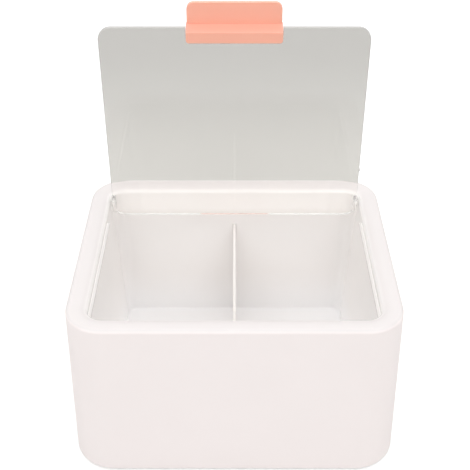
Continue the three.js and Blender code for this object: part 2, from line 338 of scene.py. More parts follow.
class ShaderGraph:
    """A small helper that builds the node tree of a material or a world."""

    def __init__(self, owner: bpy.types.Material | bpy.types.World, output: str) -> None:
        """Start a tree with only its output.

        Args:
            owner: The material or world.
            output: The type of its output node.
        """
        self.owner = owner
        owner.use_nodes = True
        self.tree = owner.node_tree
        self.tree.nodes.clear()
        self.output = self.add(output)

    @classmethod
    def of_material(cls, name: str) -> "ShaderGraph":
        """Start the tree of a new material."""
        return cls(bpy.data.materials.new(name), "ShaderNodeOutputMaterial")

    @cached_property
    def coordinates(self) -> bpy.types.bpy_prop_collection:
        """Give the outputs that tell where a point lies and which way it faces."""
        return self.add("ShaderNodeTexCoord").outputs

    def close(self, shader: Socket) -> bpy.types.Material | bpy.types.World:
        """Link the shader to the output and return the finished material or world."""
        self.fill(self.output.inputs["Surface"], shader)
        return self.owner

    def fill(self, socket: Socket, value: Value | None) -> None:
        """Link an input or set it directly.

        Args:
            socket: The input.
            value: An output, a plain value, or nothing if the input stays as it is.
        """
        if isinstance(value, Socket):
            self.tree.links.new(value, socket)
        elif value is not None:
            socket.default_value = (*value, 1) if socket.type == "RGBA" else value

    def add(self, kind: str, *ordered: Value, setup: Setup | None = None, **named: Value | None) -> Node:
        """Add a node, set it up and fill its inputs.

        Args:
            kind: The node's type.
            ordered: What the first inputs take.
            setup: The node's own settings.
            named: What inputs take by name, with underscores for spaces.

        Returns:
            The new node.
        """
        node = self.tree.nodes.new(kind)
        for name, value in (setup or {}).items():
            setattr(node, name, value)
        for socket, value in zip(node.inputs, ordered):
            self.fill(socket, value)
        for name, value in named.items():
            self.fill(node.inputs[name.replace("_", " ")], value)
        return node

    def place(self, axis: str) -> Socket:
        """Return a point's place along one of the piece's own axes."""
        return self.add("ShaderNodeSeparateXYZ", self.coordinates["Object"]).outputs[axis]

    def facing(self, axis: str) -> Socket:
        """Return how far the face at a point turns towards one of the piece's own axes."""
        return self.add("ShaderNodeSeparateXYZ", self.coordinates["Normal"]).outputs[axis]

    def math(self, operation: str, *values: Value) -> Socket:
        """Return the result of a sum of plain values."""
        return self.add("ShaderNodeMath", *values, setup={"operation": operation}).outputs["Value"]

    def vector_math(self, operation: str, *values: Value) -> Socket:
        """Return the result of a sum of vectors, which is a plain value for a length."""
        output = "Value" if operation == "LENGTH" else "Vector"
        return self.add("ShaderNodeVectorMath", *values, setup={"operation": operation}).outputs[output]

    def noise(self, noise: Noise) -> Socket:
        """Return a noise in the piece's own frame, from 0 to 1."""
        place, scale, detail = self.coordinates["Object"], noise.scale, noise.detail
        return self.add("ShaderNodeTexNoise", Vector=place, Scale=scale, Detail=detail).outputs["Fac"]

    def spread(self, noise: Noise, span: Span) -> Socket:
        """Return a noise whose usual range is mapped to a span of values."""
        ends = (*NOISE_RANGE, *span)
        return self.add("ShaderNodeMapRange", self.noise(noise), *ends).outputs["Result"]

    def ramp(self, source: Value, span: Span) -> Socket:
        """Return a share with soft ends, which is 0 where the span starts and 1 where it ends."""
        setup = {"interpolation_type": "SMOOTHSTEP"}
        return self.add("ShaderNodeMapRange", source, *span, setup=setup).outputs["Result"]

    def overlap(self, *ramps: tuple[Socket, Span]) -> Socket:
        """Return the share where two ramps, each a value and its span, overlap."""
        return self.math("MULTIPLY", *(self.ramp(source, span) for source, span in ramps))

    def level(self, share: Socket, first: Value, second: Value) -> Socket:
        """Mix two plain values, with a share of the second."""
        return self.add("ShaderNodeMapRange", share, 0.0, 1.0, first, second).outputs["Result"]

    def between(self, share: Socket, first: Value, second: Value) -> Socket:
        """Mix two colours.

        Args:
            share: The share of the second colour.
            first: The first colour.
            second: The second colour.

        Returns:
            The mixed colour.
        """
        node = self.add("ShaderNodeMix", share, setup={"data_type": "RGBA"})
        ends = [socket for socket in node.inputs if socket.type == "RGBA"]
        for socket, value in zip(ends, (first, second)):
            self.fill(socket, value)
        return next(socket for socket in node.outputs if socket.type == "RGBA")

    def bump(self, noise: Noise, depth: float, under: Socket | None = None) -> Socket:
        """Return the normal of relief from a noise, which may lie on other relief."""
        height = self.noise(noise)
        return self.add("ShaderNodeBump", Distance=depth, Height=height, Normal=under).outputs["Normal"]

    def seen_directly(self) -> Socket:
        """Tell rays from the camera, also by way of gloss and glass, from all others.

        Returns:
            1 for the rays from the camera and 0 for the others.
        """
        rays = self.add("ShaderNodeLightPath").outputs
        total = rays["Is Camera Ray"]
        for name in ("Is Glossy Ray", "Is Transmission Ray"):
            total = self.math("ADD", total, rays[name])
            total.node.use_clamp = True
        return total


@dataclass(frozen=True)
class MouldedPlastic:
    """An opaque moulded plastic with a fine satin grain and a faint unevenness of colour."""

    name: str
    colour: Triple
    shade_colour: Triple
    roughness: Span
    specular: float = 0.35
    refraction: float = 1.5
    mottle: Noise = Noise(scale=28.0, detail=3.0)
    flow: Noise = Noise(scale=9.0, detail=2.0)
    grain: Noise = Noise(scale=1500.0, detail=2.0)
    grain_depth: float = 0.02 * MM
    ripple: Noise = Noise(scale=45.0, detail=1.0)
    ripple_depth: float = 0.05 * MM
    subsurface: float = 0.0
    subsurface_radius: Triple = (1.0, 0.6, 0.4)
    subsurface_scale: float = 1.5 * MM

    def colour_at(self, graph: ShaderGraph) -> Socket:
        """Build the colour with its faint mottle."""
        return graph.between(graph.spread(self.mottle, (0.0, 1.0)), self.colour, self.shade_colour)

    def gloss_at(self, graph: ShaderGraph) -> tuple[Socket, Value]:
        """Build the roughness and the strength of the gloss."""
        return graph.spread(self.flow, self.roughness), self.specular

    def build(self) -> bpy.types.Material:
        """Build the material.

        Returns:
            The finished material.
        """
        graph = ShaderGraph.of_material(self.name)
        roughness, specular = self.gloss_at(graph)
        plastic = graph.add(
            "ShaderNodeBsdfPrincipled",
            Base_Color=self.colour_at(graph),
            Roughness=roughness,
            IOR=self.refraction,
            Specular_IOR_Level=specular,
            Subsurface_Weight=self.subsurface,
            Subsurface_Radius=self.subsurface_radius,
            Subsurface_Scale=self.subsurface_scale,
            Normal=graph.bump(self.grain, self.grain_depth, graph.bump(self.ripple, self.ripple_depth)),
        )
        return graph.close(plastic.outputs["BSDF"])


@dataclass(frozen=True)
class TubPlastic(MouldedPlastic):
    """The body's plastic: satin on the skirt and the rim, polished in the tub.

    Painted shade makes the rim's upward faces and the lid's rails greyer than the skirt, and painted light
    makes the tub grow lighter down to its floor.
    Bands are heights above the resting plane.
    """

    opening: Span = (65.2 * MM, 53.7 * MM)
    opening_radius: float = 7.5 * MM
    past_any_height: float = 1.0
    inner_colour: Triple = WHITE
    inner_roughness: float = 0.16
    inner_specular: float = 0.5
    inner_reach: Span = (0.0, 2.5 * MM)
    # Painted light in the tub, lighter towards its floor
    floor_colour: Triple = WHITE
    floor_painted_light_band: Span = (36.0 * MM, 8.0 * MM)
    # Painted shade on the tops of the rails
    rail_painted_shade: Triple = WHITE
    rail_shade_band: Span = (77.6 * MM, 78.0 * MM)
    rail_shade_reach: Span = (-0.3 * MM, -0.6 * MM)
    # Painted shade on the rim's upward faces
    rim_painted_shade: Triple = WHITE
    rim_shade_band: Span = (80.5 * MM, 84.5 * MM)
    rim_shade_facing: Span = (0.4, 0.9)

    def beyond(self, graph: ShaderGraph) -> Socket:
        """Measure how far a point lies outside the opening, whose corners are round.

        Args:
            graph: The tree that is built.

        Returns:
            The distance, below zero inside the tub.
        """
        radius = self.opening_radius
        corner = (self.opening[0] - radius, self.opening[1] - radius, self.past_any_height)
        mirrored = graph.vector_math("ABSOLUTE", graph.coordinates["Object"])
        past = graph.vector_math("SUBTRACT", mirrored, corner)
        outer = graph.vector_math("MAXIMUM", past, ORIGIN)
        return graph.math("SUBTRACT", graph.vector_math("LENGTH", outer), radius)

    def colour_at(self, graph: ShaderGraph) -> Socket:
        """Build the colour with the painted shade on the rim and the rails and the painted light in the tub.

        Args:
            graph: The tree that is built.

        Returns:
            The colour, which turns from the rim's painted shade to the skirt's where the edge rounds over.
        """
        height, beyond = graph.place("Z"), self.beyond(graph)
        # Painted shade: the rim is greyer on its upward faces, where the top light falls
        rim = graph.overlap((height, self.rim_shade_band), (graph.facing("Z"), self.rim_shade_facing))
        skin = graph.between(rim, super().colour_at(graph), self.rim_painted_shade)
        # Painted light: the tub's walls turn lighter down towards its floor
        tub = graph.between(graph.ramp(height, self.floor_painted_light_band), self.inner_colour, self.floor_colour)
        # Painted shade: the tops of the lid's rails are greyer, to keep down the light they catch
        rail = graph.overlap((height, self.rail_shade_band), (beyond, self.rail_shade_reach))
        inside = graph.between(rail, tub, self.rail_painted_shade)
        return graph.between(graph.ramp(beyond, self.inner_reach), inside, skin)

    def gloss_at(self, graph: ShaderGraph) -> tuple[Socket, Value]:
        """Build the roughness and the gloss, which is stronger in the tub.

        Args:
            graph: The tree that is built.

        Returns:
            The roughness and the strength.
        """
        outside = graph.ramp(self.beyond(graph), self.inner_reach)
        satin, specular = super().gloss_at(graph)
        roughness = graph.level(outside, self.inner_roughness, satin)
        return roughness, graph.level(outside, self.inner_specular, specular)


@dataclass(frozen=True)
class ClipPlastic(MouldedPlastic):
    """The clip's plastic, with painted shade on the web's front between the lips and the tab."""

    # Painted shade on the web's front
    web_painted_shade: Triple = WHITE
    web_shade_facing: Span = (-0.5, -0.85)
    web_shade_end: Span = (-104.0 * MM, -103.0 * MM)

    def colour_at(self, graph: ShaderGraph) -> Socket:
        """Build the colour with the painted shade on the web."""
        # Painted shade: the web's front, which faces up when the lid is open, is darker
        web = graph.overlap((graph.facing("Y"), self.web_shade_facing), (graph.place("Y"), self.web_shade_end))
        return graph.between(web, super().colour_at(graph), self.web_painted_shade)


@dataclass(frozen=True)
class SmokedClear:
    """A clear polished plastic with a smoke tint on its inner face and light, frosted edges.

    The tint deepens towards the front edge. The strip along the hinge is left without tint and
    almost without frost. The front edge has a tone of its own, and the middle of the tail edge carries
    a painted reflection of the clip's coral, piped through the panel. Spans along Y are counted from
    the hinge axis, and the front edge is at -Y.
    """

    name: str
    near_tint: Triple
    far_tint: Triple
    hinge_tint: Triple
    edge_colour: Triple
    front_colour: Triple
    # Painted reflection of the clip's coral in the tail edge
    painted_coral_reflection: Triple
    tint_span: Span = (-15.0 * MM, -95.0 * MM)
    strip_span: Span = (-13.7 * MM, -14.3 * MM)
    strip_flat: float = 52.0 * MM
    strip_reach: float = 12.0 * MM
    strip_drop: float = 1.6 * MM
    strip_power: float = 2.0
    inner_face: Span = (1.1 * MM, 0.9 * MM)
    edge_facing: Span = (0.97, 0.6)
    front_span: Span = (-91.0 * MM, -97.0 * MM)
    tail_span: Span = (6.0 * MM, 7.0 * MM)
    piped_reach: Span = (18.6 * MM, 17.1 * MM)
    frost_tail: Span = (5.5 * MM, 6.5 * MM)
    frost_fore: Span = (-13.0 * MM, -15.0 * MM)
    edge_frost: float = 0.88
    hinge_frost: float = 0.15
    shadow_share: float = 0.65
    roughness: Span = (0.012, 0.035)
    refraction: float = 1.49
    haze: Noise = Noise(scale=18.0, detail=3.0)
    ripple: Noise = Noise(scale=30.0, detail=1.0)
    ripple_depth: float = 0.02 * MM

    def clear_strip(self, graph: ShaderGraph, smoke: Socket) -> Socket:
        """Leave the strip along the hinge without smoke, narrower near the panel's sides.

        Args:
            graph: The tree that is built.
            smoke: The smoke tint.

        Returns:
            The tint's colour with the clear strip.
        """
        across = graph.math("ABSOLUTE", graph.place("X"))
        outer = graph.math("MAXIMUM", graph.math("SUBTRACT", across, self.strip_flat), 0.0)
        bend = graph.math("POWER", graph.math("DIVIDE", outer, self.strip_reach), self.strip_power)
        drop = graph.math("MULTIPLY", bend, self.strip_drop)
        share = graph.ramp(graph.math("SUBTRACT", graph.place("Y"), drop), self.strip_span)
        return graph.between(share, self.hinge_tint, smoke)

    def edge_tone(self, graph: ShaderGraph) -> Socket:
        """Build the edges' colour, with a painted reflection of the clip's coral in the tail edge.

        Args:
            graph: The tree that is built.

        Returns:
            The edges' colour.
        """
        across, along = graph.math("ABSOLUTE", graph.place("X")), graph.place("Y")
        # Painted reflection: the clip's coral shows in the middle of the tail edge
        piped = graph.overlap((across, self.piped_reach), (along, self.tail_span))
        sides = graph.between(piped, self.edge_colour, self.painted_coral_reflection)
        return graph.between(graph.ramp(along, self.front_span), sides, self.front_colour)

    def edge_clearness(self, graph: ShaderGraph) -> Socket:
        """Build the share of light that passes the edges, which is largest beside the hinge."""
        ends = [graph.ramp(graph.place("Y"), span) for span in (self.frost_tail, self.frost_fore)]
        return graph.level(graph.math("MAXIMUM", *ends), 1.0 - self.hinge_frost, 1.0 - self.edge_frost)

    def build(self) -> bpy.types.Material:
        """Build the material, which lets lamps through so that the tub behind stays lit.

        Returns:
            The finished material.
        """
        graph = ShaderGraph.of_material(self.name)
        inner = graph.ramp(graph.place("Z"), self.inner_face)
        edge = graph.ramp(graph.math("ABSOLUTE", graph.facing("Z")), self.edge_facing)
        smoke = graph.between(graph.ramp(graph.place("Y"), self.tint_span), self.near_tint, self.far_tint)
        tint = graph.between(inner, WHITE, self.clear_strip(graph, smoke))
        # The shader takes the colour's root at each face, so a tint on one face alone is squared
        deep = graph.vector_math("MULTIPLY", tint, tint)
        clear = graph.add(
            "ShaderNodeBsdfPrincipled",
            Base_Color=graph.between(edge, deep, self.edge_tone(graph)),
            Roughness=graph.spread(self.haze, self.roughness),
            IOR=self.refraction,
            Transmission_Weight=graph.level(edge, 1.0, self.edge_clearness(graph)),
            Normal=graph.bump(self.ripple, self.ripple_depth),
        )
        shadow = graph.between(graph.math("MULTIPLY", inner, self.shadow_share), WHITE, smoke)
        open_air = graph.add("ShaderNodeBsdfTransparent", Color=shadow)
        lamp_ray = graph.add("ShaderNodeLightPath").outputs["Is Shadow Ray"]
        either = graph.add("ShaderNodeMixShader", lamp_ray, clear.outputs["BSDF"], open_air.outputs["BSDF"])
        return graph.close(either.outputs["Shader"])


WHITE_BODY = TubPlastic(
    name="satin_white_body",
    colour=display(253, 245, 243),
    shade_colour=display(252, 244, 242),
    roughness=(0.46, 0.56),
    specular=0.12,
    inner_colour=display(248, 245, 243),
    # Painted light, lightest at the tub's floor
    floor_colour=display(255, 254, 254),
    # Painted shade on the tops of the rails
    rail_painted_shade=display(229, 225, 223),
    # Painted shade on the rim's upward faces
    rim_painted_shade=display(231, 226, 225),
)
# Painted shade: the divider's white is greyer than the tub's, to keep down the light on its top edge
SHADED_WHITE_DIVIDER = MouldedPlastic(
    name="shaded_satin_white_divider",
    colour=display(234, 229, 226),
    shade_colour=display(233, 228, 225),
    roughness=(0.36, 0.46),
    specular=0.4,
)
WHITE_BASE = MouldedPlastic(
    name="matt_white_base",
    colour=display(238, 231, 228),
    shade_colour=display(234, 227, 224),
    roughness=(0.5, 0.62),
    grain_depth=0.05 * MM,
)
CORAL = ClipPlastic(
    name="satin_coral_clip",
    colour=display(255, 184, 160),
    shade_colour=display(253, 179, 155),
    roughness=(0.3, 0.38),
    subsurface=0.12,
    specular=0.5,
    # Painted shade on the web's front
    web_painted_shade=display(240, 172, 152),
)
FOOT_RUBBER = MouldedPlastic(
    name="soft_foot_rubber",
    colour=display(200, 197, 192),
    shade_colour=display(190, 187, 182),
    roughness=(0.75, 0.9),
    grain=Noise(scale=900.0, detail=2.0),
    grain_depth=0.06 * MM,
)
SMOKED_LID = SmokedClear(
    name="smoked_clear_lid",
    near_tint=display(203, 201, 196),
    far_tint=display(186, 184, 180),
    hinge_tint=display(253, 252, 251),
    edge_colour=display(234, 233, 232),
    front_colour=display(192, 190, 186),
    # Painted reflection of the clip's coral in the tail edge
    painted_coral_reflection=display(222, 190, 182),
)


@dataclass
class BoxShell:
    """The white body: outer skirt, wide rim and inner tub in one moulding."""

    flare: float = math.radians(1.25)
    skirt_wall: float = 2.2 * MM
    top_fillet: float = 1.8 * MM
    bottom_fillet: float = 2.5 * MM
    corner_radius: float = 17.5 * MM
    rim_width: float = 9.8 * MM
    rim_crest_inset: float = 3.5 * MM
    rim_drop: float = 3.0 * MM
    rim_thickness: float = 2.6 * MM
    opening_radius: float = 7.5 * MM
    tub_slope: float = math.radians(3.6)
    tub_wall: float = 2.0 * MM
    floor_height: float = 6.8 * MM
    floor_thickness: float = 2.2 * MM
    floor_radius: float = 5.0 * MM
    floor_fillet: float = 1.0 * MM
    under_chamfer: float = 1.2 * MM
    edge_width: float = 3.1 * MM
    pocket_depth: float = 2.9 * MM
    rail_width: float = 1.4 * MM
    rail_depth: float = 3.2 * MM
    rail_rear_end: float = 27.0 * MM
    rail_front_inset: float = 2.0 * MM
    rail_level: float = 4.3 * MM
    rail_edges: Softening = Softening(width=0.35 * MM, steps=3, least_angle=math.radians(30))
    corner_steps: int = 24
    fillet_steps: int = 10
    rim_steps: int = 20

    def __post_init__(self) -> None:
        """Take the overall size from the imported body."""
        low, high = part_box("body_shell")
        self.bottom = low.z
        self.top = high.z
        flared = (self.top - self.bottom - self.bottom_fillet) * math.tan(self.flare)
        self.crown = RoundRect(high.x - flared, high.y - flared, self.corner_radius, self.top)
        self.opening_half_width = self.crown.half_width - self.rim_width
        self.opening_half_depth = self.crown.half_depth - self.rim_width
        self.opening_level = self.top - self.rim_drop
        self.floor_level = self.bottom + self.floor_height

    def tub_inset(self, height: float) -> float:
        """Return how far the tub's wall has moved in at a height."""
        return (self.opening_level - height) * math.tan(self.tub_slope)

    def skirt(self, inset: float, height: float) -> RoundRect:
        """Give the skirt's outline at a height, inside its outer face by an inset."""
        return self.crown.grown((self.top - height) * math.tan(self.flare) - inset, height)

    def tub(self, offset: float, height: float) -> RoundRect:
        """Give the tub's outline at a height.

        Args:
            offset: How far outside the tub's inner face.
            height: The height above the resting plane.

        Returns:
            The outline.
        """
        sunk = (self.opening_level - height) / (self.opening_level - self.floor_level)
        radius = self.opening_radius + (self.floor_radius - self.opening_radius) * sunk + offset
        shift = offset - self.tub_inset(height)
        return RoundRect(self.opening_half_width + shift, self.opening_half_depth + shift, radius, height)

    def rim(self) -> list[RoundRect]:
        """List the levels from the opening up to the rim's crest.

        Returns:
            The levels in order.
        """
        rows = []
        spread = self.rim_width - self.rim_crest_inset
        widening = self.corner_radius - self.rim_crest_inset - self.opening_radius
        for sine, cosine in quarter(self.rim_steps):
            outwards = spread * (1 - cosine)
            half_width = self.opening_half_width + outwards
            half_depth = self.opening_half_depth + outwards
            radius = self.opening_radius + widening * (1 - cosine)
            level = self.opening_level + self.rim_drop * sine
            rows.append(RoundRect(half_width, half_depth, radius, level))
        return rows

    def levels(self) -> list[RoundRect]:
        """List every level from the tub's floor over the rim and round to the tub's underside.

        Returns:
            The levels in order.
        """
        fillets = (self.floor_fillet, self.top_fillet, self.bottom_fillet)
        floor, top, bottom = (rounding(radius, self.fillet_steps) for radius in fillets)
        rows = [self.tub(-inset, self.floor_level + rise) for inset, rise in floor] + self.rim()
        rows += [self.skirt(inset, self.top - drop) for inset, drop in top]
        rows += [self.skirt(inset, self.bottom + rise) for rise, inset in bottom]
        return rows + self.hollow_levels()

    def hollow_levels(self) -> list[RoundRect]:
        """List the levels of the hollow between skirt and tub, which opens underneath.

        Returns:
            The levels in order.
        """
        edge = self.skirt(self.edge_width, self.bottom)
        ledge = self.bottom + self.pocket_depth
        under = self.floor_level - self.floor_thickness
        return [
            edge,
            edge.grown(0, ledge),
            self.crown.grown(-self.skirt_wall, ledge),
            self.crown.grown(-self.skirt_wall, self.top - self.rim_thickness),
            self.tub(self.tub_wall, self.opening_level - self.rim_thickness),
            self.tub(self.tub_wall, under + self.under_chamfer),
            self.tub(self.tub_wall - self.under_chamfer, under),
        ]

    def rail(self, side: Side) -> Piece:
        """Make the rest for the closed lid on one side wall.

        Args:
            side: The side wall it stands on.

        Returns:
            The rail as an object.
        """
        level = self.top - self.rail_level
        wall_top = self.opening_half_width - self.tub_inset(level)
        wall_low = self.opening_half_width - self.tub_inset(level - self.rail_depth)
        root = self.tub_wall / 2
        front = self.rail_front_inset - self.opening_half_depth
        outline = [
            (wall_top - self.rail_width, level),
            (wall_top + root, level),
            (wall_low + root, level - self.rail_depth),
            (wall_low, level - self.rail_depth),
            (wall_top - self.rail_width, level - self.rail_width),
        ]
        points = [Vector((side.value * x, front, z)) for x, z in outline]
        made = prism("rail", points, Vector((0, self.rail_rear_end - front, 0)))
        self.rail_edges.apply(made)
        return made

    def build(self, hinge: "HingeFit", grooves: Piece) -> Piece:
        """Build and dress the body.

        Args:
            hinge: The fit of the lid's pins, whose sockets are cut here.
            grooves: The divider's guide grooves, which are cut here and used up.

        Returns:
            The finished body.
        """
        rings = [level.points(self.corner_steps) for level in self.levels()]
        shell = solid("box_shell", rings, first_up=True)
        for side in Side:
            combine(shell, self.rail(side), Join.ADD)
            combine(shell, hinge.boss(side), Join.ADD)
            combine(shell, hinge.socket(side), Join.CUT)
        combine(shell, grooves, Join.CUT)
        shade(shell)
        return dress(shell, WHITE_BODY.build(), Body.BOX, "body_shell")


@dataclass
class HingeFit:
    """The lid's two pins and the sockets in the side walls that take them."""

    axis: Vector
    pin_radius: float = 1.3 * MM
    pin_reach: float = 2.4 * MM
    pin_chamfer: float = 0.3 * MM
    clearance: float = 0.2 * MM
    end_gap: float = 0.3 * MM
    socket_wall: float = 1.7 * MM
    boss_root: float = 66.1 * MM
    mouth_overrun: float = 2.0 * MM
    lid_half_width: float = 64.3 * MM
    steps: int = 48

    def round_bar(self, side: Side, start: float, profile: Sequence[Point], axis: Vector) -> Piece:
        """Make a round bar that runs outwards along X.

        Args:
            side: The side it is on.
            start: Its inner end, as a distance from the middle.
            profile: Radius and length pairs, from the inner end on.
            axis: A point on its axis.

        Returns:
            The bar as an object.
        """
        turn = Matrix.Rotation(side.value * QUARTER_TURN, 4, "Y")
        place = Matrix.Translation((side.value * start, axis.y, axis.z)) @ turn
        return turned("bar", profile, place, self.steps)

    def plain_bar(self, side: Side, start: float, end: float, radius: float, axis: Vector) -> Piece:
        """Make a bar of one radius, with its ends given as distances from the middle."""
        length = end - start
        return self.round_bar(side, start, [(radius, 0), (radius, length)], axis)

    @property
    def socket_end(self) -> float:
        """Return how far from the middle a socket ends."""
        return self.lid_half_width + self.pin_reach + self.end_gap

    def boss(self, side: Side) -> Piece:
        """Make the boss behind one side wall."""
        radius = self.pin_radius + self.clearance + self.socket_wall
        return self.plain_bar(side, self.boss_root, self.socket_end + self.socket_wall, radius, self.axis)

    def socket(self, side: Side) -> Piece:
        """Make the solid that cuts the socket in one side wall."""
        start = self.lid_half_width - self.mouth_overrun
        return self.plain_bar(side, start, self.socket_end, self.pin_radius + self.clearance, self.axis)

    def pin(self, side: Side, root: float) -> Piece:
        """Make one pin in the lid's own frame, with a chamfered end.

        Args:
            side: The lid's side.
            root: Where the pin starts, as a distance from the middle.

        Returns:
            The pin as an object.
        """
        radius, chamfer = self.pin_radius, self.pin_chamfer
        length = self.lid_half_width + self.pin_reach - root
        profile = [(radius, 0), (radius, length - chamfer), (radius - chamfer, length)]
        return self.round_bar(side, root, profile, Vector(ORIGIN))


@dataclass
class DividerPlate:
    """The thin plate that splits the tub, standing in shallow grooves front and rear."""

    shell: BoxShell
    groove_depth: float = 1.0 * MM
    groove_clearance: float = 0.1 * MM
    groove_headroom: float = 0.1 * MM
    end_gap: float = 0.3 * MM
    edges: Softening = Softening(width=0.35 * MM, steps=4, least_angle=math.radians(30))

    def __post_init__(self) -> None:
        """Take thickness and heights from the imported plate."""
        low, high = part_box("divider")
        self.half_thickness = high.x
        self.low = low.z
        self.high = high.z

    def slab(self, name: str, half: float, reach: float, low: float, high: float) -> Piece:
        """Make an upright slab that follows the tub's sloping walls.

        Args:
            name: The object's name.
            half: Half its thickness.
            reach: How far it reaches into the walls.
            low: Its lower edge.
            high: Its upper edge.

        Returns:
            The slab as an object.
        """
        half_low = self.shell.opening_half_depth - self.shell.tub_inset(low) + reach
        half_high = self.shell.opening_half_depth - self.shell.tub_inset(high) + reach
        corners = [(-half_low, low), (half_low, low), (half_high, high), (-half_high, high)]
        return prism(name, [Vector((-half, y, z)) for y, z in corners], Vector((2 * half, 0, 0)))

    def grooves(self) -> Piece:
        """Make the solid that cuts both grooves."""
        half, high = self.half_thickness + self.groove_clearance, self.high + self.groove_headroom
        return self.slab("grooves", half, self.groove_depth, self.shell.floor_level, high)

    def build(self) -> Piece:
        """Build and dress the plate.

        Returns:
            The finished plate.
        """
        reach = self.groove_depth - self.end_gap
        plate = self.slab("divider_plate", self.half_thickness, reach, self.low, self.high)
        self.edges.apply(plate)
        shade(plate, THIN_SHARP_ANGLE)
        return dress(plate, SHADED_WHITE_DIVIDER.build(), Body.BOX, "divider")


@dataclass
class Underside:
    """The base plate that closes the body underneath, and its four soft feet."""

    shell: BoxShell
    plate_edge_round: float = 0.4 * MM
    plate_edge_steps: int = 4
    plate_corner_steps: int = 24
    foot_edge_round: float = 0.5 * MM
    foot_edge_steps: int = 6
    foot_clearance: float = 0.3 * MM
    foot_recess: float = 1.0 * MM
    foot_groove_radius: float = 3.4 * MM
    foot_groove_width: float = 0.5 * MM
    foot_groove_depth: float = 0.25 * MM
    overrun: float = 2.0 * MM
    steps: int = 64
    feet: tuple[str, ...] = ("foot_front_left", "foot_front_right", "foot_rear_left", "foot_rear_right")

    def foot_place(self, node: str) -> tuple[Vector, float, float]:
        """Read a foot's middle on the resting plane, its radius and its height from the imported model."""
        low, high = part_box(node)
        return Vector(((low.x + high.x) / 2, (low.y + high.y) / 2, 0)), (high.x - low.x) / 2, high.z

    def plate(self) -> Piece:
        """Make the base plate with its four round recesses.

        Returns:
            The plate as an object.
        """
        low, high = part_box("base_plate")
        radius = self.shell.skirt(self.shell.edge_width, self.shell.bottom).radius
        outline = RoundRect(high.x, high.y, radius, high.z)
        edge = rounding(self.plate_edge_round, self.plate_edge_steps)
        levels = [outline.grown(-inset, high.z - drop) for inset, drop in edge]
        levels += [outline.grown(-inset, low.z + rise) for rise, inset in edge]
        rings = [level.points(self.plate_corner_steps) for level in levels]
        plate = solid("base_closure", rings, first_up=True)
        for node in self.feet:
            middle, foot_radius, _ = self.foot_place(node)
            reach = self.overrun + self.foot_recess
            wide = foot_radius + self.foot_clearance
            place = Matrix.Translation((middle.x, middle.y, low.z - self.overrun))
            recess = turned("recess", [(wide, 0), (wide, reach)], place, self.steps)
            combine(plate, recess, Join.CUT)
        shade(plate)
        return plate

    def foot(self, node: str) -> Piece:
        """Make one soft foot with a round edge and a ring groove in its face.

        Args:
            node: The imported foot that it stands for.

        Returns:
            The foot as an object.
        """
        middle, radius, height = self.foot_place(node)
        edge = rounding(self.foot_edge_round, self.foot_edge_steps)
        inner, depth = self.foot_groove_radius, self.foot_groove_depth
        outer = inner + self.foot_groove_width
        profile = [(inner, 0), (inner, depth), (outer, depth), (outer, 0)]
        profile += [(radius - inset, rise) for inset, rise in edge]
        profile += [(radius - inset, height - drop) for drop, inset in edge]
        made = turned("soft_" + node, profile, Matrix.Translation(middle), self.steps)
        shade(made)
        return made

    def build(self) -> list[Piece]:
        """Build and dress the base plate and the feet.

        Returns:
            The finished plate, and after it the feet.
        """
        plate = dress(self.plate(), WHITE_BASE.build(), Body.BOX, "base_plate")
        rubber = FOOT_RUBBER.build()
        feet = [dress(self.foot(node), rubber, Body.BOX, node) for node in self.feet]
        return [plate, *feet]


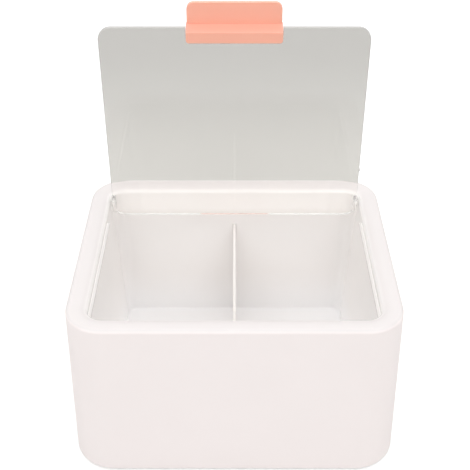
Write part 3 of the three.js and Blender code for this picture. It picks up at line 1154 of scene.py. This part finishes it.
@dataclass
class ClearPanel:
    """The clear lid panel with its lugs, pins, handle notch and the moulding's gate nub."""

    hinge: HingeFit
    thickness: float = 2.0 * MM
    front: float = 98.6 * MM
    tail: float = 7.6 * MM
    corner_radius: float = 6.3 * MM
    notch_width: float = 45.8 * MM
    notch_depth: float = 2.7 * MM
    lug_radius: float = 4.7 * MM
    lug_width: float = 1.9 * MM
    nub_place: float = 20.5 * MM
    nub_length: float = 2.4 * MM
    nub_proud: float = 0.4 * MM
    edges: Softening = Softening(width=0.25 * MM, steps=3, least_angle=math.radians(40))
    overrun: float = 2.0 * MM
    corner_steps: int = 16
    nub_steps: int = 8

    def nub(self) -> list[Point]:
        """Walk the gate nub, a low hump on the right edge, from front to rear.

        Returns:
            The nub's points.
        """
        walked = []
        for step in range(self.nub_steps + 1):
            share = step / self.nub_steps
            # The hump is a parabola that peaks at 1 half way
            hump = 4 * share * (1 - share)
            y = -self.nub_place + self.nub_length * (share - 0.5)
            walked.append((self.hinge.lid_half_width + self.nub_proud * hump, y))
        return walked

    def outline(self, height: float) -> list[Vector]:
        """Give the panel's outline in its own closed frame.

        Args:
            height: The outline's height.

        Returns:
            The outline's points.
        """
        radius, steps = self.corner_radius, self.corner_steps
        notch, notch_end = self.notch_width / 2, self.notch_depth - self.front
        x = self.hinge.lid_half_width - radius
        rear, fore = self.tail - radius, radius - self.front
        flat = [(-notch, notch_end), (notch, notch_end), (notch, -self.front)]
        flat += arc((x, fore), radius, 3, steps) + self.nub() + arc((x, rear), radius, 0, steps)
        flat += arc((-x, rear), radius, 1, steps) + arc((-x, fore), radius, 2, steps)
        flat.append((-notch, -self.front))
        return [Vector((*point, height)) for point in flat]

    def lug(self, side: Side) -> Piece:
        """Make one half-round lug that follows the panel's outline.

        Args:
            side: The panel's side.

        Returns:
            The lug as an object.
        """
        start, end = self.hinge.lid_half_width - self.lug_width, self.hinge.lid_half_width + self.overrun
        disc = self.hinge.plain_bar(side, start, end, self.lug_radius, Vector(ORIGIN))
        draw = Vector((0, 0, self.lug_radius + 2 * self.overrun))
        under = prism("under", self.outline(-self.lug_radius - self.overrun), draw)
        combine(disc, under, Join.COMMON)
        return disc

    def build(self, place: Matrix) -> Piece:
        """Build and dress the panel.

        Args:
            place: The lid's frame at rest, on its hinge axis.

        Returns:
            The finished panel.
        """
        panel = prism("clear_panel", self.outline(0), Vector((0, 0, self.thickness)))
        self.edges.apply(panel)
        for side in Side:
            combine(panel, self.lug(side), Join.ADD)
            root = self.hinge.lid_half_width - self.lug_width / 2
            combine(panel, self.hinge.pin(side, root), Join.ADD)
        shade(panel)
        panel.matrix_world = place
        return dress(panel, SMOKED_LID.build(), Body.LID, "lid_panel")


@dataclass
class CoralClip:
    """The coral clip: two lips over the panel's edge, a leaning web and a tab to lift it by."""

    panel: ClearPanel
    lip_length: float = 7.2 * MM
    lip_thickness: float = 1.3 * MM
    lip_radius: float = 1.5 * MM
    lip_side_gap: float = 0.1 * MM
    seat_gap: float = 0.3 * MM
    web_foot: float = 1.8 * MM
    web_head: float = 0.1 * MM
    tab_width: float = 44.8 * MM
    tab_reach: float = 10.6 * MM
    tab_thickness: float = 2.1 * MM
    tab_radius: float = 3.5 * MM
    tab_under: float = 3.4 * MM
    block_half: float = 13.6 * MM
    edges: Softening = Softening(width=0.45 * MM, steps=4, least_angle=math.radians(25))
    corner_steps: int = 12

    def profile(self, x: float) -> list[Vector]:
        """Give the clip's side outline in the lid's closed frame.

        Args:
            x: The plane it lies in.

        Returns:
            The outline's points.
        """
        middle = self.panel.thickness / 2
        slot = middle + self.seat_gap
        lip = slot + self.lip_thickness
        over = self.tab_under + self.tab_thickness
        slot_end = self.seat_gap - self.panel.notch_depth
        corners = [
            (-self.lip_length, -lip),
            (-self.web_foot, -lip),
            (self.web_head, self.tab_under),
            (self.tab_reach, self.tab_under),
            (self.tab_reach, over),
            (self.web_head - self.tab_thickness, over),
            (-self.web_foot - self.lip_thickness, lip),
            (-self.lip_length, lip),
            (-self.lip_length, slot),
            (slot_end, slot),
            (slot_end, -slot),
            (-self.lip_length, -slot),
        ]
        return [Vector((x, -self.panel.front - reach, middle + rise)) for reach, rise in corners]

    def plan(self, height: float) -> list[Vector]:
        """Give the clip's outline seen from above.

        Args:
            height: The outline's height.

        Returns:
            The outline's points.
        """
        steps, tab, lip = self.corner_steps, self.tab_radius, self.lip_radius
        tab_half, lip_half = self.tab_width / 2, self.panel.notch_width / 2 - self.lip_side_gap
        step_y = -self.panel.front - self.web_head
        tab_x, tab_y = tab_half - tab, tab - self.panel.front - self.tab_reach
        lip_x, lip_y = lip_half - lip, self.lip_length - self.panel.front - lip
        walked = [(-tab_half, step_y)]
        walked += arc((-tab_x, tab_y), tab, 2, steps) + arc((tab_x, tab_y), tab, 3, steps)
        walked += [(tab_half, step_y), (lip_half, step_y)]
        walked += arc((lip_x, lip_y), lip, 0, steps) + arc((-lip_x, lip_y), lip, 1, steps)
        walked.append((-lip_half, step_y))
        return [Vector((*point, height)) for point in walked]

    def build(self, place: Matrix) -> Piece:
        """Build and dress the clip.

        Args:
            place: The lid's frame at rest, on its hinge axis.

        Returns:
            The finished clip.
        """
        half = self.panel.notch_width / 2
        clip = prism("coral_clip", self.profile(-half), Vector((2 * half, 0, 0)))
        block = prism("block", self.plan(-self.block_half), Vector((0, 0, 2 * self.block_half)))
        combine(clip, block, Join.COMMON)
        self.edges.apply(clip)
        shade(clip, THIN_SHARP_ANGLE)
        clip.matrix_world = place
        return dress(clip, CORAL.build(), Body.LID, "lid_handle")


@dataclass(frozen=True)
class SoftBox:
    """A square lamp."""

    name: str
    place: Triple
    size: float
    power: float

    def hang(self, aim: Vector) -> None:
        """Put the lamp into the scene.

        Args:
            aim: The point it is turned to.
        """
        data = bpy.data.lights.new(self.name, "AREA")
        data.shape = "SQUARE"
        data.size = self.size
        data.energy = self.power
        lamp = linked(self.name, data)
        lamp.location = self.place
        lamp.rotation_euler = (aim - lamp.location).to_track_quat("-Z", "Y").to_euler()


@dataclass
class Studio:
    """The plain white studio and the camera at the photograph's angle."""

    camera_back: float = 363.1 * MM
    camera_height: float = 340.3 * MM
    camera_pitch: float = math.radians(33.81)
    frame_pixels: int = 470
    focal_pixels: float = 914.6
    middle_column: float = 234.45
    middle_row: float = 226.2
    sensor_width: float = 36.0
    floor_half_size: float = 6.0
    floor_drop: float = 0.1 * MM
    floor_colour: Triple = (0.72, 0.72, 0.72)
    floor_glow: float = 0.44
    far_glow: float = 0.86
    far_span: Span = (0.45, 1.3)
    ambient: float = 0.224
    aim: Triple = (0.0, 0.0, 0.06)
    lamps: tuple[SoftBox, ...] = (
        SoftBox("top_softbox", (0.0, 0.0, 1.6), size=1.6, power=5.6),
        SoftBox("key_softbox", (0.0, -1.1, 1.25), size=1.2, power=6.2),
        SoftBox("front_softbox", (0.0, -1.5, 0.9), size=1.4, power=5.1),
        SoftBox("left_softbox", (-1.0, -0.3, 1.2), size=1.0, power=6.8),
        SoftBox("right_softbox", (1.0, -0.3, 1.2), size=1.0, power=6.8),
        SoftBox("rear_left_softbox", (-0.9, 0.6, 1.3), size=1.0, power=2.4),
        SoftBox("rear_right_softbox", (0.9, 0.6, 1.3), size=1.0, power=2.4),
        SoftBox("rear_softbox", (0.0, 1.4, 1.0), size=1.2, power=3.2),
    )

    def add_camera(self) -> None:
        """Place the camera where the photograph was taken from."""
        data = bpy.data.cameras.new("photo_camera")
        data.sensor_width = self.sensor_width
        data.lens = self.focal_pixels / self.frame_pixels * self.sensor_width
        centre = self.frame_pixels / 2
        data.shift_x = (centre - self.middle_column) / self.frame_pixels
        data.shift_y = (self.middle_row - centre) / self.frame_pixels
        camera = linked("photo_camera", data)
        camera.location = (0, -self.camera_back, self.camera_height)
        camera.rotation_euler = (QUARTER_TURN - self.camera_pitch, 0, 0)
        bpy.context.scene.camera = camera

    def add_world(self) -> None:
        """Surround the scene with even light that is white where it is seen."""
        graph = ShaderGraph(bpy.data.worlds.new("white_room"), "ShaderNodeOutputWorld")
        strength = graph.level(graph.seen_directly(), self.ambient, 1.0)
        background = graph.add("ShaderNodeBackground", Color=WHITE, Strength=strength)
        bpy.context.scene.world = graph.close(background.outputs["Background"])

    def add_floor(self) -> None:
        """Lay a white floor that keeps a soft shadow and is plain white far from the holder."""
        half = self.floor_half_size
        shape = bmesh.new()
        corners = [(-half, -half), (half, -half), (half, half), (-half, half)]
        shape.faces.new([shape.verts.new((x, y, -self.floor_drop)) for x, y in corners])
        floor = mesh_object("white_floor", shape)
        graph = ShaderGraph.of_material("white_floor")
        matt = graph.add("ShaderNodeBsdfDiffuse", Color=self.floor_colour)
        away = graph.ramp(graph.vector_math("LENGTH", graph.coordinates["Object"]), self.far_span)
        level = graph.level(away, self.floor_glow, self.far_glow)
        glow = graph.add("ShaderNodeEmission", Strength=graph.math("MULTIPLY", level, graph.seen_directly()))
        both = graph.add("ShaderNodeAddShader", matt.outputs["BSDF"], glow.outputs["Emission"])
        floor.data.materials.append(graph.close(both.outputs["Shader"]))

    def build(self) -> None:
        """Build the camera, lamps, world and floor."""
        self.add_camera()
        for lamp in self.lamps:
            lamp.hang(Vector(self.aim))
        self.add_world()
        self.add_floor()
        bpy.context.scene.view_settings.view_transform = "Standard"


def lid_frame() -> tuple[Matrix, Vector]:
    """Work out the lid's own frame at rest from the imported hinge.

    Returns:
        The frame on the hinge axis, and the axis's middle.
    """
    joint = next(row for row in frame["joints"] if row["name"] == "lid_hinge")
    middle = Vector(joint["pos_m"])
    closing = math.radians(joint["range_deg"][1])
    return Matrix.Translation(middle) @ Matrix.Rotation(-closing, 4, "X"), middle


def main() -> None:
    """Build the studio and every piece in order, and report each piece."""
    logging.basicConfig(level=logging.INFO, format="%(name)s %(message)s")
    Studio().build()
    place, axis = lid_frame()
    hinge = HingeFit(axis)
    shell = BoxShell()
    divider = DividerPlate(shell)
    panel = ClearPanel(hinge)
    pieces = [shell.build(hinge, divider.grooves()), divider.build(), *Underside(shell).build()]
    pieces += [panel.build(place), CoralClip(panel).build(place)]
    for piece in pieces:
        LOG.info("%s: %d faces", piece.name, len(piece.data.polygons))


if __name__ == "__main__":
    main()
